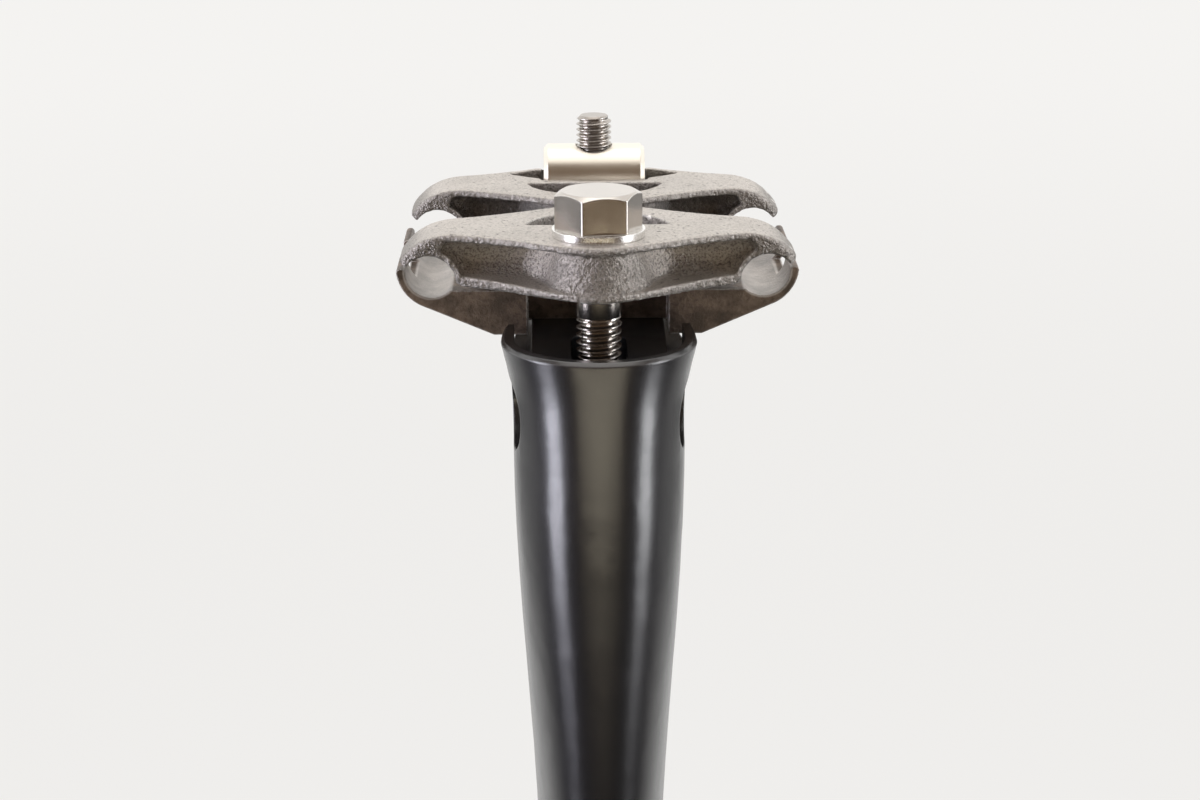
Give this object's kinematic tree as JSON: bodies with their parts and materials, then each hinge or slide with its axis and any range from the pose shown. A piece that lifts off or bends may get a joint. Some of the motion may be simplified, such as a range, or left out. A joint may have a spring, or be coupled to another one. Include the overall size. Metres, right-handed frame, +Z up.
{
  "type": "bicycle seatpost",
  "caption": "Black oval bicycle seatpost with a tilting saddle-rail clamp: lower cradle, cast yokes, hexagon bolt in front and a barrel nut behind.",
  "frame": {"origin": "middle of the shaft's lower end", "axes": "+Z up the shaft to the saddle, +Y to the back of the bicycle, +X to the rider's left"},
  "size_m": [0.0532, 0.0627, 0.365],
  "materials": {
    "post_black": "satin black, fine texture",
    "cast_yoke": "as cast, bead blasted, edges rubbed bright",
    "cradle_bronze": "dull bronze grey",
    "bolt_steel": "plain steel",
    "nut_nickel": "satin nickel"
  },
  "bodies": {
    "post": {"post": "post_black"},
    "clamp": {"lower_cradle": "cradle_bronze", "front_yoke": "cast_yoke", "rear_yoke": "cast_yoke", "front_bolt": "bolt_steel", "front_washer": "bolt_steel", "rear_barrel_nut": "nut_nickel"},
    "front_nut": {"front_barrel_nut": "nut_nickel"},
    "rear_bolt": {"rear_bolt": "bolt_steel", "rear_seat_washer": "bolt_steel"}
  },
  "joints": [
    {"name": "saddle_tilt", "type": "hinge", "parent": "post", "child": "clamp", "pos_m": [0, 0.0147, 0.3332], "axis": [1, 0, 0], "range_deg": [-5, 5]},
    {"name": "front_nut_turn", "type": "hinge", "parent": "post", "child": "front_nut", "pos_m": [0, -0.0058, 0.3332], "axis": [1, 0, 0], "range_deg": [-5.2, 5.2]},
    {"name": "rear_bolt_lean", "type": "hinge", "parent": "post", "child": "rear_bolt", "pos_m": [0, 0.0352, 0.3332], "axis": [1, 0, 0], "range_deg": [-5.2, 5.2]}
  ],
  "couplings": [
    {"joint": "front_nut_turn", "follows": "saddle_tilt", "ratio": 1},
    {"joint": "rear_bolt_lean", "follows": "saddle_tilt", "ratio": 1}
  ]
}
